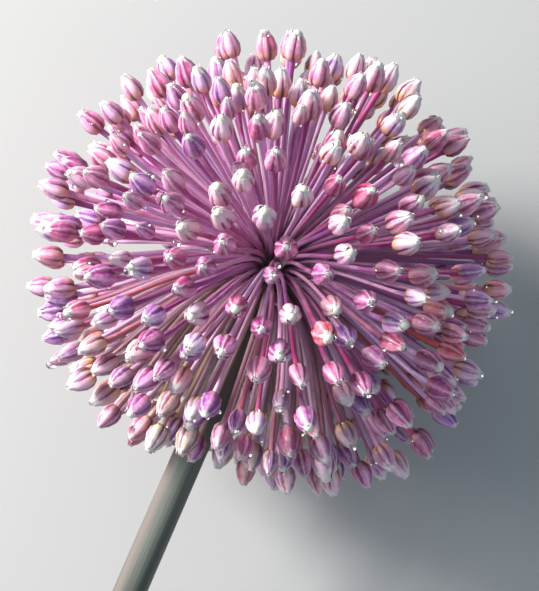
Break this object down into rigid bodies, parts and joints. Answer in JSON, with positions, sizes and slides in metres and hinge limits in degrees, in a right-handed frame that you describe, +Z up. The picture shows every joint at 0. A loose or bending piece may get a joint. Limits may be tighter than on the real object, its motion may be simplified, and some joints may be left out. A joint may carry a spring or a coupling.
{
  "type": "allium flower head",
  "caption": "Cut allium flower head lying on its side: a round ball of pointed lilac buds on thin stalks, on one straight smooth stem that slopes down to its cut end.",
  "frame": {"origin": "on the surface the flower head lies on, under the middle of its bounding box", "axes": "+Z up, -Y along the stem towards its cut end, +Y towards the crown of the head, X across"},
  "size_m": [0.073, 0.1538, 0.071],
  "materials": {
    "stem": "smooth waxy grey-green plant stem",
    "knob": "dull green plant tissue",
    "florets": "silky lilac to purple buds on mauve stalks"
  },
  "bodies": {
    "root": {"stem": "stem", "knob": "knob", "floret_cluster_01": "florets", "floret_cluster_02": "florets", "floret_cluster_03": "florets", "floret_cluster_04": "florets", "floret_cluster_05": "florets", "floret_cluster_06": "florets", "floret_cluster_07": "florets", "floret_cluster_08": "florets", "floret_cluster_09": "florets", "floret_cluster_10": "florets", "floret_cluster_11": "florets", "floret_cluster_12": "florets", "floret_cluster_13": "florets", "floret_cluster_14": "florets", "floret_cluster_15": "florets", "floret_cluster_16": "florets", "floret_cluster_17": "florets", "floret_cluster_18": "florets", "floret_cluster_19": "florets", "floret_cluster_20": "florets", "floret_cluster_21": "florets", "floret_cluster_22": "florets", "floret_cluster_23": "florets", "floret_cluster_24": "florets", "floret_cluster_25": "florets", "floret_cluster_26": "florets", "floret_cluster_27": "florets", "floret_cluster_28": "florets", "floret_cluster_29": "florets", "floret_cluster_30": "florets", "floret_cluster_31": "florets", "floret_cluster_32": "florets", "floret_cluster_33": "florets", "floret_cluster_34": "florets", "floret_cluster_35": "florets", "floret_cluster_36": "florets", "floret_cluster_37": "florets", "floret_cluster_38": "florets", "floret_cluster_39": "florets", "floret_cluster_40": "florets", "floret_cluster_41": "florets", "floret_cluster_42": "florets", "floret_cluster_43": "florets", "floret_cluster_44": "florets", "floret_cluster_45": "florets", "floret_cluster_46": "florets", "floret_cluster_47": "florets", "floret_cluster_48": "florets", "floret_cluster_49": "florets", "floret_cluster_50": "florets", "floret_cluster_51": "florets", "floret_cluster_52": "florets", "floret_cluster_53": "florets", "floret_cluster_54": "florets", "floret_cluster_55": "florets", "floret_cluster_56": "florets"}
  },
  "joints": []
}
